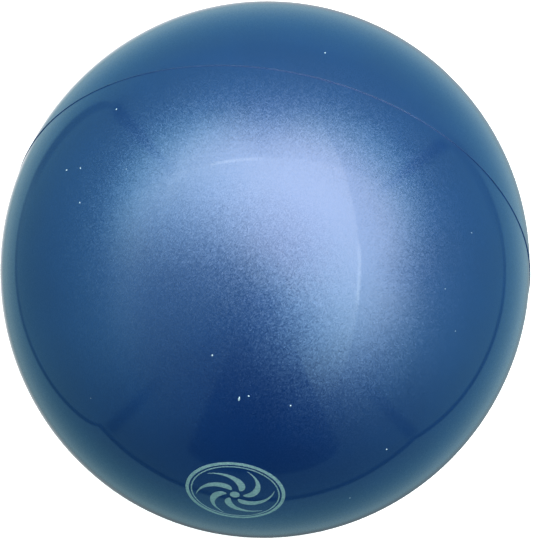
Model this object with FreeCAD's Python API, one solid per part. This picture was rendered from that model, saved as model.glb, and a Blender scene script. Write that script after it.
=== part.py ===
import FreeCAD, Part
import math
import os

# Rhythmic gymnastics ball, in millimetres: a hollow rubber ball of two moulded halves, with an inflation valve.
# The origin is the centre of the ball. The line through the two poles lies along Y: the printed pole is at -Y
# and the valve is at the +Y pole. The halves meet in the plane y = 0, and +Z is up.

# Ball
seam_radius = 81.7        # centre to the outer surface, in the seam plane
pole_rise = 2.0           # how much further out than that each pole stands
wall = 3.05
flash_height = 0.45       # the moulding flash that stands proud all round the seam
flash_width = 0.5
flash_crest = 0.12
joint_band_width = 8.0    # the thicker band inside the ball that strengthens the seam
joint_band_height = 0.6
joint_band_slope = 1.5

# Valve plug: a small stopper that is pulled out along the pole line
plug_head_radius = 3.0
plug_head_thickness = 0.9
plug_head_inset = 0.1     # the head's face lies this much under the pole
plug_edge_round = 0.2
plug_shank_radius = 1.65
plug_shank_length = 4.6
plug_tip_taper = 0.6

# Clearances round the plug
shank_clearance = 0.05
head_side_clearance = 0.15
head_seat_clearance = 0.1
tip_clearance = 0.4

# Valve core: the soft insert that the pump needle goes through
core_rim = 1.05           # rubber left round the plug's recess
core_foot_step = 1.4      # the foot is this much wider than the stem, so that air pressure can't push it out
core_foot_length = 5.0
needle_duct_radius = 1.15
needle_duct_length = 8.0
slit_length = 2.5         # the lips at the inner end that close behind the needle
slit_width = 2.0
slit_gap = 0.1
notch_radius = 0.9        # a fingernail notch beside the plug's head

# Valve housing: the flanged boss bonded inside the rear shell
neck_wall = 1.8
boss_wall = 2.4
flange_reach = 5.0
flange_thickness = 1.5

# Sizes and places that follow from the values above
pole_radius = seam_radius + pole_rise
mouth_radius = plug_shank_radius + shank_clearance
recess_radius = plug_head_radius + head_side_clearance
core_radius = recess_radius + core_rim
core_foot_radius = core_radius + core_foot_step
valve_hole_radius = core_radius + neck_wall
boss_radius = core_foot_radius + boss_wall
flange_radius = boss_radius + flange_reach

head_top = pole_radius - plug_head_inset
head_seat = head_top - plug_head_thickness
recess_floor = head_seat - head_seat_clearance
shank_tip = head_seat - plug_shank_length
mouth_floor = shank_tip - tip_clearance
duct_floor = mouth_floor - needle_duct_length
core_bottom = duct_floor - slit_length
foot_top = core_bottom + core_foot_length

centre = FreeCAD.Vector(0, 0, 0)
pole_line = FreeCAD.Vector(0, 1, 0)


def point(out, along):
    """A point of a profile: its distance from the pole line, and its place along it."""
    return FreeCAD.Vector(out, along, 0)


def oval(depth):
    """The ball's outline, this far under its outer surface, starting at the +Y pole and turning towards +X."""
    return Part.Ellipse(point(0, pole_radius - depth), point(seam_radius - depth, 0), centre)


def oval_arc(depth, along):
    """The part of that outline from the +Y pole down to the height given by along."""
    return Part.Arc(oval(depth), 0, math.acos(along / (pole_radius - depth))).toShape()


def polyline(points):
    """The straight edges that join these points in turn."""
    return [Part.LineSegment(a, b).toShape() for a, b in zip(points, points[1:])]


def turned(edges):
    """The solid that these edges enclose when they turn once about the pole line."""
    face = Part.Face(Part.Wire(Part.sortEdges(edges)[0]))
    return face.revolve(centre, pole_line, 360)


def filled_oval(depth):
    """The upper half of the ball as a full solid, this far under its outer surface."""
    arc = oval_arc(depth, 0)
    ends = [point(seam_radius - depth, 0), centre, point(0, pole_radius - depth)]
    return turned([arc] + polyline(ends))


def round_bar(radius, bottom, top):
    """A cylinder on the pole line, between two places along it."""
    return Part.makeCylinder(radius, top - bottom, point(0, bottom), pole_line)


def half_shell():
    """The +Y half of the ball's wall, with its half of the flash outside and of the joint band inside."""
    outer = oval_arc(0, flash_width / 2)
    inner = oval_arc(wall, joint_band_width / 2)
    outer_end = outer.Vertexes[-1].Point
    inner_end = inner.Vertexes[-1].Point
    crest_radius = seam_radius + flash_height
    band_radius = seam_radius - wall - joint_band_height
    rim = [
        outer_end,
        point(crest_radius, flash_crest / 2),
        point(crest_radius, 0),
        point(band_radius, 0),
        point(band_radius, joint_band_width / 2 - joint_band_slope),
        inner_end,
    ]
    pole = [point(0, pole_radius - wall), point(0, pole_radius)]
    return turned([outer, inner] + polyline(rim) + polyline(pole))


def front_shell():
    return half_shell().mirror(centre, pole_line)


def rear_shell():
    return half_shell().cut(round_bar(valve_hole_radius, 0, pole_radius + wall))


def valve_housing():
    """A neck that fills the shell's hole flush, a flange against the wall inside, and a boss for the core."""
    inner_pole = pole_radius - wall
    flange_rim = inner_pole * math.sqrt(1 - (flange_radius / (seam_radius - wall)) ** 2)
    neck = round_bar(valve_hole_radius, foot_top, pole_radius + wall).common(filled_oval(0))
    flange = round_bar(flange_radius, flange_rim - flange_thickness, pole_radius).common(filled_oval(wall))
    boss = round_bar(boss_radius, core_bottom, inner_pole).common(filled_oval(wall))
    pocket = round_bar(core_radius, core_bottom, pole_radius + wall)
    foot_pocket = round_bar(core_foot_radius, core_bottom, foot_top)
    return neck.fuse([flange, boss]).removeSplitter().cut([pocket, foot_pocket])


def valve_core():
    """The soft insert: recess and mouth for the plug, then the needle duct, then the lips that close it."""
    stem = round_bar(core_radius, core_bottom, pole_radius + wall).common(filled_oval(0))
    foot = round_bar(core_foot_radius, core_bottom, foot_top)
    recess = round_bar(recess_radius, recess_floor, pole_radius + wall)
    mouth = round_bar(mouth_radius, mouth_floor, pole_radius)
    duct = round_bar(needle_duct_radius, duct_floor, pole_radius)
    slit = Part.makeBox(
        slit_width,
        slit_length,
        slit_gap,
        FreeCAD.Vector(-slit_width / 2, core_bottom, -slit_gap / 2),
    )
    notch = round_bar(notch_radius, recess_floor, pole_radius + wall)
    notch.translate(FreeCAD.Vector(0, 0, recess_radius))
    body = stem.fuse(foot).removeSplitter()
    return body.cut([recess, mouth, duct, slit, notch])


def valve_plug():
    """The stopper: a flat round head on a shank with a tapered tip."""
    head = round_bar(plug_head_radius, head_seat, head_top)
    head = head.makeFillet(plug_edge_round, [e for e in head.Edges if e.Closed])
    shank = round_bar(plug_shank_radius, shank_tip + plug_tip_taper, head_top - plug_edge_round)
    tip = Part.makeCone(
        plug_shank_radius - plug_tip_taper,
        plug_shank_radius,
        plug_tip_taper,
        point(0, shank_tip),
        pole_line,
    )
    return head.fuse([shank, tip]).removeSplitter()


builders = [front_shell, rear_shell, valve_housing, valve_core, valve_plug]

os.makedirs("parts", exist_ok=True)
for build in builders:
    shape = build()
    solid = shape if shape.ShapeType == "Solid" else shape.Solids[0]
    solid.exportStep("parts/" + build.__name__ + ".step")
    print(build.__name__, "valid", solid.isValid(), "solids", len(shape.Solids), "mm3", round(solid.Volume, 1))
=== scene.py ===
import math
from random import Random

import bpy
from mathutils import Matrix, Vector, noise


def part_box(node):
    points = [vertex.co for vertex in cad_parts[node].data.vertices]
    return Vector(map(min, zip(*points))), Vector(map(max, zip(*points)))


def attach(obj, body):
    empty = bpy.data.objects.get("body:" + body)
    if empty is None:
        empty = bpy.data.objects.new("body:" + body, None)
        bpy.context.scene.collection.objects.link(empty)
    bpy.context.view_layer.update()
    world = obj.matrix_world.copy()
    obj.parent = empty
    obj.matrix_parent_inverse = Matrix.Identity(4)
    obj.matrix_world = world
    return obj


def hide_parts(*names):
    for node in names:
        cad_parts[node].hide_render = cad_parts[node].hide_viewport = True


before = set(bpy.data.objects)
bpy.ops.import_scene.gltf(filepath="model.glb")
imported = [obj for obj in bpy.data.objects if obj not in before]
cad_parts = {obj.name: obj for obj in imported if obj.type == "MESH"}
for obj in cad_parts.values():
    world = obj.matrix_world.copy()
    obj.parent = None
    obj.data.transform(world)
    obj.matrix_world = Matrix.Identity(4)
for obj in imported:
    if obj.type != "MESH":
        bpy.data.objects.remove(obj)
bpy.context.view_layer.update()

# Rhythmic gymnastics ball: fine pearl shells with their seam flash, the printed stamp, dust nibs in
# the lacquer (their pale colour partly a painted glint) and the valve at the back. Metres, in the
# frame of the CAD model: poles along Y, seam in the XZ plane, +Z up.

MM = 0.001

# ---------------------------------------------------------------- sizes read from the frame
CAD_FLASH = 0.45 * MM                         # how far the CAD flash stands proud at its fullest
front_low, front_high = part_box("front_shell")
flash_crest_radius = front_high[0]            # the seam flash is the widest part of a shell
pole_radius = -front_low[1]
seam_radius = flash_crest_radius - CAD_FLASH
flash_height = 0.24 * MM                      # the most that is left of the flash after trimming
wall = 3.05 * MM
valve_hole_radius = 6.0 * MM

# ---------------------------------------------------------------- camera and view axes
CAMERA_AZIMUTH = math.radians(10.36)
CAMERA_ELEVATION = math.radians(50.64)
CAMERA_DISTANCE = 4.24 * seam_radius
LENS_MM = 73.65
SENSOR_MM = 36.0
AIM_RIGHT = 0.33 * MM                         # the ball's centre sits a touch off the frame's middle
AIM_DOWN = 0.64 * MM

to_camera = Vector((
    math.sin(CAMERA_AZIMUTH) * math.cos(CAMERA_ELEVATION),
    -math.cos(CAMERA_AZIMUTH) * math.cos(CAMERA_ELEVATION),
    math.sin(CAMERA_ELEVATION),
))
view_right = Vector((math.cos(CAMERA_AZIMUTH), math.sin(CAMERA_AZIMUTH), 0.0))
view_up = to_camera.cross(view_right)


def make_camera():
    data = bpy.data.cameras.new("camera")
    data.sensor_fit = "HORIZONTAL"
    data.sensor_width = SENSOR_MM
    data.lens = LENS_MM
    data.clip_start = 0.01
    camera = bpy.data.objects.new("camera", data)
    bpy.context.collection.objects.link(camera)
    aim = view_right * AIM_RIGHT - view_up * AIM_DOWN
    place = to_camera * CAMERA_DISTANCE
    back = (place - aim).normalized()
    right = view_up.cross(back).normalized()
    up = back.cross(right)
    turn = Matrix((right, up, back)).transposed().to_4x4()
    camera.matrix_world = Matrix.Translation(place) @ turn
    bpy.context.scene.camera = camera


# ---------------------------------------------------------------- node helper
class Nodes:
    """Short calls that add nodes to one tree and return their output sockets."""

    def __init__(self, tree):
        self.tree = tree

    def add(self, kind, **settings):
        node = self.tree.nodes.new(kind)
        for name, value in settings.items():
            setattr(node, name, value)
        return node

    def feed(self, socket, value):
        if isinstance(value, bpy.types.NodeSocket):
            self.tree.links.new(value, socket)
        else:
            socket.default_value = value

    def math(self, operation, *values):
        node = self.add("ShaderNodeMath", operation=operation)
        for socket, value in zip(node.inputs, values):
            self.feed(socket, value)
        return node.outputs[0]

    def plus(self, total, *others):
        for value in others:
            total = self.math("ADD", total, value)
        return total

    def minus(self, a, b):
        return self.math("SUBTRACT", a, b)

    def times(self, product, *others):
        for value in others:
            product = self.math("MULTIPLY", product, value)
        return product

    def dimmed(self, value, darkness):
        """The value with this share of it taken away."""
        return self.times(value, self.minus(1.0, darkness))

    def clamp(self, value, low, high):
        return self.math("MINIMUM", self.math("MAXIMUM", value, low), high)

    def vector(self, operation, *values):
        node = self.add("ShaderNodeVectorMath", operation=operation)
        for socket, value in zip(node.inputs, values):
            self.feed(socket, value)
        return node.outputs["Value" if operation == "DOT_PRODUCT" else "Vector"]

    def smooth(self, value, start, end, low=0.0, high=1.0):
        """Goes smoothly from low to high while value goes from start to end."""
        node = self.add("ShaderNodeMapRange", interpolation_type="SMOOTHSTEP")
        names = ("Value", "From Min", "From Max", "To Min", "To Max")
        for name, setting in zip(names, (value, start, end, low, high)):
            self.feed(node.inputs[name], setting)
        return node.outputs["Result"]

    def band(self, value, start, end, soft):
        """1 between start and end, falling to 0 over soft outside them."""
        rise = self.smooth(value, start - soft, start)
        fall = self.smooth(value, end, end + soft, 1.0, 0.0)
        return self.times(rise, fall)

    def mix(self, share, a, b):
        """Colour a where share is 0, colour b where it is 1."""
        node = self.add("ShaderNodeMix", data_type="RGBA")
        self.feed(node.inputs["Factor"], share)
        self.feed(node.inputs[6], a)
        self.feed(node.inputs[7], b)
        return node.outputs[2]

    def blend(self, share, a, b):
        """Number a where share is 0, number b where it is 1."""
        node = self.add("ShaderNodeMix", data_type="FLOAT")
        self.feed(node.inputs["Factor"], share)
        self.feed(node.inputs[2], a)
        self.feed(node.inputs[3], b)
        return node.outputs[0]

    def place(self):
        """Where the shaded point is, in the object's own space."""
        return self.add("ShaderNodeTexCoord").outputs["Object"]

    def noise(self, scale, detail=2.0):
        """A cloudy pattern in the object's own space, from 0 to 1."""
        node = self.add("ShaderNodeTexNoise")
        self.feed(node.inputs["Vector"], self.place())
        node.inputs["Scale"].default_value = scale
        node.inputs["Detail"].default_value = detail
        return node.outputs["Fac"]

    def emboss(self, shader, height, distance, strength):
        node = self.add("ShaderNodeBump")
        self.feed(node.inputs["Height"], height)
        node.inputs["Distance"].default_value = distance
        node.inputs["Strength"].default_value = strength
        self.feed(shader.inputs["Normal"], node.outputs[0])


# ---------------------------------------------------------------- light: a white cloth tent round the ball
# All angles of the tent are in degrees. "Away" is the angle from the camera's direction, "turn" the
# angle round it, from the right of the view over the top.
WALL_CORNERS = (35.0, 133.0, 225.0, 313.0)    # turns at which the cloth walls meet
CORNER_DARKNESS = 0.8
PANE_EDGES = (                                # axis, where the edge starts and ends, light left past it
    ("x", 0.79, 0.82, 0.68),
    ("y", 1.02, 1.08, 0.84),
    ("x", -0.96, -1.06, 0.80),
)
PANE_SEAM_GLEAM = 2.0
SHEET_EDGE = 106.0                            # how far away the sheet behind the ball starts
SHEET_BULGES = (                              # turn from, turn to, depth, skew, fullness
    (133.0, 222.0, 24.0, 0.8, 0.6),
    (222.0, 313.0, 2.0, 1.0, 1.0),
    (-47.0, 37.0, 14.0, 1.0, 0.8),
)
FOLDS = (                                     # middle, darkness, turns at which it starts and is full
    (141.0, 0.5, 129.0, 134.0),
    (27.0, 0.3, 36.0, 33.0),
)
DOOR_MIDDLE = 270.0
DOOR_HALF_WIDTH = 22.0
DOOR_END = 88.0
DOOR_DARKNESS = 0.98

WARM_WINDOW = (1.0, 0.98, 0.95, 1.0)
CYAN_WALLS = (0.40, 0.96, 1.0, 1.0)
PALE_SHEET = (0.62, 0.98, 1.0, 1.0)
WHITE_RIM = (0.98, 1.0, 1.0, 1.0)


class Tent:
    """The light by direction: a soft window near the camera, dim cloth walls with four corners, a dark
    door under the camera, and a white sheet behind the ball."""

    def __init__(self, n):
        direction = n.add("ShaderNodeTexCoord").outputs["Generated"]
        x = n.vector("DOT_PRODUCT", direction, view_right)
        y = n.vector("DOT_PRODUCT", direction, view_up)
        z = n.vector("DOT_PRODUCT", direction, to_camera)
        flat = n.math("MAXIMUM", z, 0.05)
        self.n = n
        self.ahead = z
        self.pane = {"x": n.math("DIVIDE", x, flat), "y": n.math("DIVIDE", y, flat)}
        self.away = n.math("DEGREES", n.math("ARCCOSINE", n.clamp(z, -1.0, 1.0)))
        self.turn = n.math("WRAP", n.math("DEGREES", n.math("ARCTAN2", y, x)), 360.0, 0.0)
        self.past_edge = n.minus(self.away, self.sheet_edge())

    def facing(self, angle):
        """1 where turn is this angle, -1 on the far side, eased to 0 straight ahead."""
        n = self.n
        cosine = n.math("COSINE", n.math("RADIANS", n.minus(self.turn, angle)))
        return n.times(cosine, n.smooth(self.away, 0.0, 12.0))

    def sheet_edge(self):
        """How far away the sheet starts: its edge bulges outwards between the corners."""
        n = self.n
        edge = SHEET_EDGE
        for start, end, depth, skew, fullness in SHEET_BULGES:
            past_start = n.math("WRAP", n.minus(self.turn, start), 360.0, 0.0)
            share = n.clamp(n.math("DIVIDE", past_start, end - start), 0.0, 1.0)
            wave = n.math("SINE", n.times(n.math("POWER", share, skew), math.pi))
            bulge = n.math("POWER", n.math("MAXIMUM", wave, 0.0), fullness)
            edge = n.plus(edge, n.times(bulge, depth))
        return edge

    def window(self):
        """A glow up and to the right. Its square far side fades into the walls, its pane has straight
        edges."""
        n = self.n
        lit = n.smooth(self.facing(n.smooth(self.away, 40.0, 64.0, 46.0, 78.0)), -0.85, 0.80)
        squareness = n.math("ABSOLUTE", n.math("SINE", n.math("RADIANS", n.times(self.turn, 2.0))))
        reach = n.minus(self.away, n.times(squareness, 12.0))
        near = n.smooth(self.away, 0.0, 44.0, 1.65, 3.85)
        glow = n.times(near, n.smooth(reach, 42.0, 71.0, 1.0, 0.0))
        for axis, start, end, outside in PANE_EDGES:
            glow = n.times(glow, n.smooth(self.pane[axis], start, end, 1.0, outside))
        return n.times(glow, lit)

    def walls(self):
        n = self.n
        near = n.smooth(self.facing(90.0), -1.0, -0.3, 0.17, 0.45)
        far_share = n.smooth(self.facing(30.0), -0.95, -0.50, 0.68, 0.82)
        return n.times(near, n.smooth(self.away, 60.0, 100.0, 1.0, far_share))

    def corners(self):
        """Soft dark lines where the walls meet."""
        n = self.n
        lines = [n.band(self.turn, corner - 0.5, corner + 0.5, 2.5) for corner in WALL_CORNERS]
        near_end = n.smooth(self.away, 50.0, 82.0)
        far_end = n.smooth(self.away, 100.0, 106.0, 1.0, 0.0)
        return n.times(n.plus(*lines), near_end, far_end, CORNER_DARKNESS)

    def sheet(self):
        """The sheet, dimmer low down and at its far end, with a brighter rim on the far left."""
        n = self.n
        rise = n.smooth(self.away, 104.0, 146.0, 0.41, 0.68)
        light = n.minus(rise, n.smooth(self.away, 144.0, 156.0, 0.0, 0.20))
        shade = n.smooth(self.away, 142.0, 162.0, 0.66, 0.30)
        light = n.times(light, n.smooth(self.facing(75.0), -1.0, 0.5, shade, 1.0))
        rim = n.smooth(self.away, 147.0, 162.0, 0.0, 0.72)
        return n.plus(light, n.times(rim, n.smooth(self.facing(160.0), -0.1, 1.0)))

    def cloth(self):
        """Walls and sheet, with the dark gap between them below and a fold at each upper corner."""
        n = self.n
        walls = n.dimmed(n.plus(self.walls(), self.window()), self.corners())
        cloth = n.blend(n.smooth(self.past_edge, -0.5, 1.0), walls, self.sheet())
        gap = n.band(self.past_edge, -1.8, -0.2, 1.3)
        cloth = n.dimmed(cloth, n.times(gap, n.smooth(self.facing(275.0), -0.6, 0.7, 0.0, 0.95)))
        for middle, darkness, start, end in FOLDS:
            fold = n.times(n.band(self.past_edge, -4.0, -1.0, 4.0), n.smooth(self.turn, start, end))
            fold = n.times(fold, n.smooth(self.facing(middle), 0.92, 0.99, 0.0, darkness))
            cloth = n.dimmed(cloth, fold)
        return cloth

    def door(self):
        """The dark opening: a crisp far edge that curves at its ends, a soft near edge."""
        n = self.n
        off_middle = n.math("ABSOLUTE", n.minus(self.turn, DOOR_MIDDLE))
        curve = n.math("POWER", n.math("DIVIDE", off_middle, DOOR_HALF_WIDTH), 4.0)
        past_door = n.plus(self.away, n.times(curve, 4.0))
        left, right = DOOR_MIDDLE - DOOR_HALF_WIDTH, DOOR_MIDDLE + DOOR_HALF_WIDTH
        near_end = n.smooth(self.away, 15.0, 50.0)
        far_end = n.smooth(past_door, DOOR_END, DOOR_END + 3.0, 1.0, 0.0)
        return n.times(n.band(self.turn, left, right, 3.5), near_end, far_end, DOOR_DARKNESS)

    def pane_seams(self):
        """Two short bright slits, at the right and top edges of the window's pane."""
        n = self.n
        x, y = self.pane["x"], self.pane["y"]
        side = n.times(n.band(x, 0.78, 0.81, 0.012), n.band(y, -0.15, 0.12, 0.2))
        top = n.times(n.band(y, 1.01, 1.04, 0.012), n.band(x, -0.40, -0.15, 0.2))
        return n.times(n.plus(side, top), n.smooth(self.ahead, 0.1, 0.3), PANE_SEAM_GLEAM)

    def strength(self):
        return self.n.plus(self.n.dimmed(self.cloth(), self.door()), self.pane_seams())

    def tint(self):
        """Warm white near the camera, cool cloth round the sides, near white behind."""
        n = self.n
        warm = n.plus(n.times(self.facing(60.0), 0.42), 0.58)
        warm = n.times(warm, n.smooth(self.away, 50.0, 80.0, 1.0, 0.0))
        tint = n.mix(warm, CYAN_WALLS, WARM_WINDOW)
        tint = n.mix(n.smooth(self.away, 118.0, 150.0), tint, PALE_SHEET)
        rim = n.smooth(self.away, 146.0, 160.0)
        rim = n.times(rim, n.smooth(self.facing(150.0), -1.0, 0.6, 0.5, 1.0))
        return n.mix(rim, tint, WHITE_RIM)


def light_tent():
    world = bpy.data.worlds.new("light_tent")
    world.use_nodes = True
    world.node_tree.nodes.clear()
    n = Nodes(world.node_tree)
    tent = Tent(n)
    background = n.add("ShaderNodeBackground")
    n.feed(background.inputs["Color"], tent.tint())
    n.feed(background.inputs["Strength"], tent.strength())
    surface = n.add("ShaderNodeOutputWorld").inputs["Surface"]
    n.feed(surface, background.outputs[0])
    bpy.context.scene.world = world


# ---------------------------------------------------------------- floor
FLOOR_HALF = 4.0
WALL_TOP = 6.0
TABLE_GLOW = 0.75


def make_floor():
    """A plain pale back-lit table top under the ball, with plain pale walls far round it. They neither
    light the ball nor shade it: its gloss sees the tent instead."""
    half = FLOOR_HALF
    outline = [(-half, -half), (half, -half), (half, half), (-half, half)]
    points = [(x, y, z) for z in (-flash_crest_radius, WALL_TOP) for x, y in outline]
    sides = [(i, i + 4, (i + 1) % 4 + 4, (i + 1) % 4) for i in range(4)]
    mesh = bpy.data.meshes.new("floor")
    mesh.from_pydata(points, [], [(0, 1, 2, 3)] + sides)
    floor = bpy.data.objects.new("floor", mesh)
    bpy.context.collection.objects.link(floor)
    material, _, shader = new_material("pale_table")
    shader.inputs["Base Color"].default_value = (0.9, 0.9, 0.9, 1.0)
    shader.inputs["Roughness"].default_value = 0.9
    shader.inputs["Emission Color"].default_value = (1.0, 1.0, 1.0, 1.0)
    shader.inputs["Emission Strength"].default_value = TABLE_GLOW
    mesh.materials.append(material)
    floor.visible_glossy = False
    floor.visible_diffuse = False
    floor.visible_shadow = False


# ---------------------------------------------------------------- materials
FLAKES_PER_METRE = 4200.0
FLAKE_TILT = 0.20
TURNING_MARKS = 26000.0                       # phase of the turning marks, in radians per metre


def new_material(name):
    """A new material, the helper for its node tree, and its shader."""
    material = bpy.data.materials.new(name)
    material.use_nodes = True
    return material, Nodes(material.node_tree), material.node_tree.nodes["Principled BSDF"]


def pearl_lacquer():
    """Fine pearl flakes in a deep blue binder, both under a clear gloss coat."""
    material, n, binder = new_material("pearl_lacquer")
    cells = n.add("ShaderNodeTexVoronoi", feature="F1")
    n.feed(cells.inputs["Vector"], n.place())
    cells.inputs["Scale"].default_value = FLAKES_PER_METRE
    random = n.add("ShaderNodeSeparateColor")
    n.feed(random.inputs["Color"], cells.outputs["Color"])

    drift = n.smooth(n.noise(60.0, 3.0), 0.3, 0.7)
    deep = n.mix(drift, (0.001, 0.034, 0.190, 1.0), (0.001, 0.040, 0.213, 1.0))
    n.feed(binder.inputs["Base Color"], deep)
    binder.inputs["Specular IOR Level"].default_value = 0.0

    flakes = n.add("ShaderNodeBsdfPrincipled")
    pale = n.mix(random.outputs["Green"], (0.147, 0.216, 0.358, 1.0), (0.165, 0.236, 0.384, 1.0))
    n.feed(flakes.inputs["Base Color"], pale)
    flakes.inputs["Metallic"].default_value = 1.0
    flakes.inputs["Specular Tint"].default_value = (0.5, 0.6, 0.7, 1.0)
    n.feed(flakes.inputs["Roughness"], n.blend(random.outputs["Blue"], 0.33, 0.36))

    # each flake leans its own way
    lean = n.add("ShaderNodeVectorMath", operation="SCALE")
    n.feed(lean.inputs[0], n.vector("SUBTRACT", cells.outputs["Color"], (0.5, 0.5, 0.5)))
    lean.inputs["Scale"].default_value = FLAKE_TILT
    normal = n.add("ShaderNodeNewGeometry").outputs["Normal"]
    leaning = n.vector("NORMALIZE", n.vector("ADD", normal, lean.outputs["Vector"]))
    n.feed(flakes.inputs["Normal"], leaning)

    for shader in (binder, flakes):
        shader.inputs["Coat Weight"].default_value = 1.0
        shader.inputs["Coat Roughness"].default_value = 0.03
        shader.inputs["Coat IOR"].default_value = 1.5
    both = n.add("ShaderNodeMixShader")
    n.feed(both.inputs["Fac"], n.blend(random.outputs["Red"], 0.48, 0.52))
    n.feed(both.inputs[1], binder.outputs[0])
    n.feed(both.inputs[2], flakes.outputs[0])
    surface = material.node_tree.nodes["Material Output"].inputs["Surface"]
    n.feed(surface, both.outputs[0])
    return material


def patchy(n, shader, share, colours, roughnesses):
    """Lets colour and roughness drift together, from the first of each pair to the second."""
    first, second = colours
    n.feed(shader.inputs["Base Color"], n.mix(share, first + (1.0,), second + (1.0,)))
    n.feed(shader.inputs["Roughness"], n.blend(share, *roughnesses))


def valve_rubber():
    """Moulded rubber of the valve's ring, blue with a faint moulded grain."""
    material, n, shader = new_material("valve_rubber")
    patch = n.noise(350.0, 5.0)
    colours = ((0.010, 0.035, 0.11), (0.018, 0.055, 0.15))
    patchy(n, shader, n.smooth(patch, 0.3, 0.7), colours, (0.42, 0.6))
    n.emboss(shader, patch, 0.08 * MM, 0.6)
    return material


def core_rubber():
    """Soft dark rubber, matte, with faintly paler dusty patches here and there."""
    material, n, shader = new_material("core_rubber")
    patch = n.noise(900.0, 6.0)
    colours = ((0.012, 0.014, 0.018), (0.03, 0.032, 0.038))
    patchy(n, shader, n.smooth(patch, 0.35, 0.7), colours, (0.6, 0.85))
    n.emboss(shader, patch, 0.06 * MM, 0.7)
    return material


def plug_plastic():
    """Soft white plastic with a satin skin and fine turning marks round the head."""
    material, n, shader = new_material("plug_plastic")
    patch = n.noise(500.0, 4.0)
    colours = ((0.60, 0.62, 0.62), (0.70, 0.72, 0.72))
    patchy(n, shader, n.smooth(patch, 0.35, 0.65), colours, (0.32, 0.48))
    shader.inputs["Subsurface Weight"].default_value = 0.15
    shader.inputs["Subsurface Radius"].default_value = (MM, MM, MM)
    axes = n.add("ShaderNodeSeparateXYZ")
    n.feed(axes.inputs[0], n.place())
    squares = [n.math("POWER", axes.outputs[axis], 2.0) for axis in ("X", "Z")]
    off_axis = n.math("SQRT", n.plus(*squares))
    n.emboss(shader, n.math("SINE", n.times(off_axis, TURNING_MARKS)), 0.01 * MM, 0.5)
    return material


def stamp_ink():
    """Pale grey-green screen ink, slightly uneven where it was pressed on."""
    material, n, shader = new_material("stamp_ink")
    patch = n.noise(1400.0, 4.0)
    colours = ((0.20, 0.34, 0.37), (0.29, 0.44, 0.46))
    patchy(n, shader, n.smooth(patch, 0.35, 0.65), colours, (0.4, 0.55))
    shader.inputs["Coat Weight"].default_value = 1.0
    shader.inputs["Coat Roughness"].default_value = 0.05
    return material


def dust_nib_with_painted_glint():
    """Pale dust caught in the lacquer. Its pale colour is partly real dust and partly a painted glint."""
    material, n, shader = new_material("dust_nib_with_painted_glint")
    # painted glint: this pale colour stands in for part of the light glinting off each nib
    dust = n.mix(n.noise(5000.0), (0.35, 0.48, 0.62, 1.0), (0.75, 0.85, 0.9, 1.0))
    n.feed(shader.inputs["Base Color"], dust)
    shader.inputs["Roughness"].default_value = 0.3
    return material


# ---------------------------------------------------------------- shells
AROUND = 600                                  # columns round the pole line
ROWS = 120                                    # rows from the pole to the seam
INNER_ROWS = 14
SKIN_END = 0.11 * MM                          # how near the seam plane the skin goes before the flash
WAVE_FADE = 3.0 * MM                          # the waves die out over this distance from the seam
LIP = 0.25 * MM                               # rounding of the valve hole's edge
# the trimmed flash in section: share of its height, and mm from the seam plane
FLASH_PROFILE = ((0.0, 0.085), (0.1, 0.078), (0.9, 0.058), (1.0, 0.050), (1.0, 0.0))


def unevenness(point):
    """Low waves of the moulded wall, in metres along the surface normal."""
    long_wave = noise.noise(point * 22.0) * 0.06
    short_wave = noise.noise(point * 95.0 + Vector((3.1, 7.7, 1.3))) * 0.012
    return (long_wave + short_wave) * MM


def flash_at(turn):
    """How much of the full flash is left at this angle round the seam, from 0.55 to 1."""
    spot = Vector((math.cos(turn), 0.0, math.sin(turn)))
    ripple = 0.5 + 0.5 * noise.noise(spot * 9.0)
    nick = 0.5 + 0.5 * noise.noise(spot * 60.0 + Vector((5.0, 0.0, 2.0)))
    return 0.55 + 0.30 * ripple + 0.15 * nick


def ring(radius_at, y):
    """One ring of vertices round the pole line, at this y. radius_at gives the radius by angle."""
    turns = [2.0 * math.pi * i / AROUND for i in range(AROUND)]
    return [Vector((radius_at(t) * math.cos(t), y, radius_at(t) * math.sin(t))) for t in turns]


def plain_ring(radius, along, side):
    return ring(lambda turn: radius, side * along)


def skin_ring(radius, along, side):
    """A ring of the outer skin, with the waves of the moulded wall."""
    fade = min(1.0, along / WAVE_FADE)
    return [p + p.normalized() * unevenness(p) * fade for p in plain_ring(radius, along, side)]


def flash_ring(height_share, along, side):
    height = flash_height * height_share
    return ring(lambda turn: seam_radius + height * flash_at(turn), side * along)


def shell_rings(side, hole):
    """Rings from the hole or the pole, over the outside, over the flash and back over the inside."""
    start = math.asin(hole / seam_radius) if hole else 0.5 / ROWS
    last = math.acos(SKIN_END / pole_radius)
    rings = []
    if hole:
        edge_along = pole_radius * math.cos(start)
        rings.append(plain_ring(hole, edge_along - 4.0 * LIP, side))
        rings.append(plain_ring(hole, edge_along - LIP, side))
        rings.append(plain_ring(hole + 0.3 * LIP, edge_along - 0.3 * LIP, side))
        start += LIP / pole_radius
    for k in range(ROWS + 1):
        t = start + (last - start) * k / ROWS
        rings.append(skin_ring(seam_radius * math.sin(t), pole_radius * math.cos(t), side))
    for height_share, along in FLASH_PROFILE:
        rings.append(flash_ring(height_share, along * MM, side))
    inner_seam = seam_radius - wall
    inner_pole = pole_radius - wall
    inner_start = math.asin(hole / inner_seam) if hole else 0.5 / INNER_ROWS
    for k in range(INNER_ROWS, -1, -1):
        t = inner_start + (math.pi / 2 - inner_start) * k / INNER_ROWS
        rings.append(plain_ring(inner_seam * math.sin(t), inner_pole * math.cos(t), side))
    return rings


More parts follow.
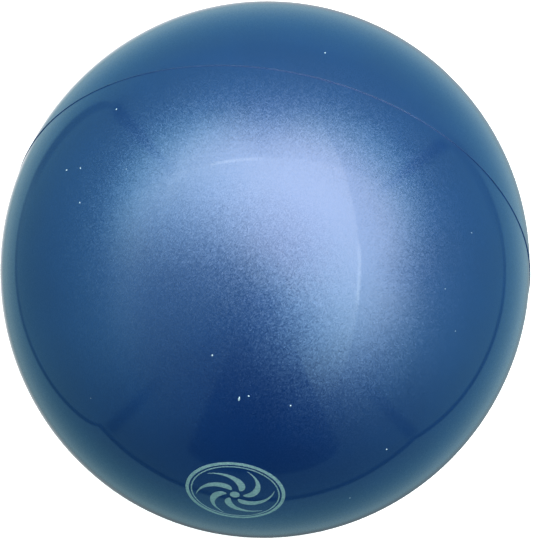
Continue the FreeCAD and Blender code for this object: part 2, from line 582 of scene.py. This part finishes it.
def build_shell(name, side, hole):
    """One half of the ball as a closed skin. Side is 1 for the +Y half and -1 for the other."""
    rings = shell_rings(side, hole)
    points = [p for r in rings for p in r]
    columns = [(i, (i + 1) % AROUND) for i in range(AROUND)]
    last = (len(rings) - 1) * AROUND
    quads = []
    for a in range(0, last, AROUND):
        b = a + AROUND
        quads.extend((a + i, a + j, b + j, b + i) for i, j in columns)
    tips = []
    if hole:
        quads.extend((last + i, last + j, j, i) for i, j in columns)
    else:
        for first, along, outside in ((0, pole_radius, True), (last, pole_radius - wall, False)):
            tip = len(points)
            points.append(Vector((0.0, side * along, 0.0)))
            for i, j in columns:
                a, b = (j, i) if outside == (side > 0) else (i, j)
                tips.append((first + a, first + b, tip))
    faces = quads if side > 0 else [quad[::-1] for quad in quads]
    mesh = bpy.data.meshes.new(name)
    mesh.from_pydata(points, [], faces + tips)
    mesh.validate()
    mesh.shade_smooth()
    shell = bpy.data.objects.new(name, mesh)
    bpy.context.collection.objects.link(shell)
    return shell


# ---------------------------------------------------------------- stamp
STAMP_RIGHT = 7.0 * MM                        # where the stamp's middle sits, from the front pole
STAMP_UP = 6.6 * MM
STAMP_RADIUS = 13.4 * MM
STAMP_TURN = math.radians(5.5)
INK = 0.03 * MM                               # how far the ink stands on the skin
INK_ROOT = 0.01 * MM                          # how far it reaches into the skin
STAMP_RINGS = ((1.0, 0.07), (0.89, 0.025))    # outer radius and width, as shares of the stamp's radius
RING_STEPS = 200
STROKES = 6
STROKE_STEPS = 40
DOT_STEPS = 40

stamp_middle = Vector((STAMP_RIGHT, -pole_radius, STAMP_UP)).normalized()
stamp_right = stamp_middle.cross(Vector((0.0, 0.0, 1.0))).normalized() * -1.0
stamp_up = stamp_right.cross(stamp_middle)


def on_skin(direction, lift=0.0):
    """The point of the outer skin in this direction from the ball's centre, raised by lift."""
    d = direction.normalized()
    across = (d.x * d.x + d.z * d.z) / seam_radius ** 2
    p = d / math.sqrt(across + d.y * d.y / pole_radius ** 2)
    return p + d * (unevenness(p) + lift)


def stamp_point(radius, turn, lift):
    """A point of the stamp, by polar place in its own plane, laid onto the skin."""
    angle = radius / pole_radius
    spoke = stamp_right * math.cos(turn + STAMP_TURN) + stamp_up * math.sin(turn + STAMP_TURN)
    return on_skin(stamp_middle * math.cos(angle) + spoke * math.sin(angle), lift)


def ink_strip(points, faces, rows, closed):
    """Adds one solid strip of ink. Each row is a list of (radius, turn) places across the strip."""
    start = len(points)
    across = len(rows[0])
    for lift in (INK, -INK_ROOT):
        for row in rows:
            points.extend(stamp_point(radius, turn, lift) for radius, turn in row)
    under = len(rows) * across
    for i in range(len(rows) if closed else len(rows) - 1):
        a, b = start + i * across, start + (i + 1) % len(rows) * across
        for j in range(across - 1):
            faces.append((a + j, a + j + 1, b + j + 1, b + j))
            faces.append((b + j + under, b + j + 1 + under, a + j + 1 + under, a + j + under))
        faces.append((a, b, b + under, a + under))
        e = across - 1
        faces.append((b + e, a + e, a + e + under, b + e + under))
    if not closed:
        for a, flip in ((start, False), (start + (len(rows) - 1) * across, True)):
            for j in range(across - 1):
                quad = (a + j + 1, a + j, a + j + under, a + j + 1 + under)
                faces.append(quad[::-1] if flip else quad)


def add_mesh(name, points, faces, material):
    mesh = bpy.data.meshes.new(name)
    mesh.from_pydata(points, [], faces)
    mesh.validate()
    mesh.shade_smooth()
    mesh.set_sharp_from_angle(angle=math.radians(40.0))
    mesh.materials.append(material)
    thing = bpy.data.objects.new(name, mesh)
    bpy.context.collection.objects.link(thing)
    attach(thing, "ball")
    return thing


def round_rows(radii, steps):
    """Rows right round the stamp's middle, each with places at these radii."""
    return [[(radius, -2.0 * math.pi * i / steps) for radius in radii] for i in range(steps)]


def stroke_rows(stroke):
    """Rows along one curved stroke, from near the dot outwards."""
    rows = []
    for i in range(STROKE_STEPS + 1):
        s = i / STROKE_STEPS
        radius = STAMP_RADIUS * (0.17 + 0.63 * s)
        turn = -math.pi / 3 * stroke - 1.35 * s ** 1.4
        half = STAMP_RADIUS * (0.01 + 0.085 * math.sin(math.pi * s ** 0.8)) / radius
        rows.append([(radius, turn + half * side) for side in (1.0, 0.0, -1.0)])
    return rows


def build_stamp(material):
    """A plain round mark: two rings, with six curved strokes turning round a dot."""
    points, faces = [], []
    for outer, width in STAMP_RINGS:
        radii = [STAMP_RADIUS * (outer - width * j / 2) for j in range(3)]
        ink_strip(points, faces, round_rows(radii, RING_STEPS), closed=True)
    for stroke in range(STROKES):
        ink_strip(points, faces, stroke_rows(stroke), closed=False)
    dot_radii = [STAMP_RADIUS * share for share in (0.1, 0.05, 0.002)]
    ink_strip(points, faces, round_rows(dot_radii, DOT_STEPS), closed=True)
    stamp = add_mesh("stamp", points, faces, material)


# ---------------------------------------------------------------- dust nibs
LARGE_NIB = 0.24 * MM
SMALL_NIBS = 26
NIB_SIDES = 12
NIB_LEVELS = 5
LEVEL_LEAN = math.radians(20.0)               # each level of a dome leans in this much more
# the nibs that stand out on the front: degrees from the front pole, degrees round it, stretch
LARGE_NIBS = (
    (98, 80, 1), (82, 118, 1), (72, 129, 1), (71, 125, 1), (64, 125, 1),
    (35, 91, 1), (29, 77, 1), (28, 80, 3), (30, 62, 1), (35, 20, 1),
)


def nib_places():
    """From the front pole, round it from the right, size and stretch of every nib."""
    chance = Random(11)
    nibs = [(math.radians(a), math.radians(b), LARGE_NIB, stretch) for a, b, stretch in LARGE_NIBS]
    for _ in range(SMALL_NIBS):
        from_pole = math.acos(chance.uniform(-0.9, 0.9))
        turn = chance.uniform(0.0, 2.0 * math.pi)
        nibs.append((from_pole, turn, chance.uniform(0.10, 0.18) * MM, 1))
    return nibs


def add_nib(points, faces, from_pole, turn, size, stretch):
    """Adds one low dome that stands on the skin, sunk in a little."""
    out = math.sin(from_pole)
    d = Vector((out * math.cos(turn), -math.cos(from_pole), out * math.sin(turn)))
    side = d.cross(Vector((0.0, 1.0, 0.0))).normalized()
    along = side.cross(d)
    foot = on_skin(d, -0.3 * size)
    start = len(points)
    for level in range(NIB_LEVELS):
        lean = LEVEL_LEAN * level
        for i in range(NIB_SIDES):
            around = 2.0 * math.pi * i / NIB_SIDES
            flat = side * math.cos(around) + along * (math.sin(around) * stretch)
            points.append(foot + flat * (size * math.cos(lean)) + d * (size * math.sin(lean)))
    points.append(foot + d * size)
    faces.append(tuple(start + i for i in range(NIB_SIDES))[::-1])
    for level in range(NIB_LEVELS - 1):
        row = start + level * NIB_SIDES
        for i in range(NIB_SIDES):
            a, b = row + i, row + (i + 1) % NIB_SIDES
            faces.append((a, b, b + NIB_SIDES, a + NIB_SIDES))
    top_row = start + (NIB_LEVELS - 1) * NIB_SIDES
    for i in range(NIB_SIDES):
        faces.append((top_row + i, top_row + (i + 1) % NIB_SIDES, top_row + NIB_SIDES))


def build_nibs(material):
    """Specks of dust caught in the lacquer, as small low domes. Their pale colour is partly a painted
    glint.
    """
    points, faces = [], []
    for nib in nib_places():
        add_nib(points, faces, *nib)
    nib_mesh = add_mesh("nibs", points, faces, material)


# ---------------------------------------------------------------- build
make_camera()
light_tent()
make_floor()

lacquer = pearl_lacquer()
for name, side, hole, node in (
    ("front_skin", -1, 0.0, "front_shell"),
    ("rear_skin", 1, valve_hole_radius, "rear_shell"),
):
    shell = build_shell(name, side, hole)
    shell.data.materials.append(lacquer)
    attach(shell, "ball")
    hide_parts(node)

build_stamp(stamp_ink())
build_nibs(dust_nib_with_painted_glint())

for node, make in (
    ("valve_housing", valve_rubber),
    ("valve_core", core_rubber),
    ("valve_plug", plug_plastic),
):
    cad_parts[node].material_slots[0].material = make()

view = bpy.context.scene.view_settings
view.view_transform = "Standard"
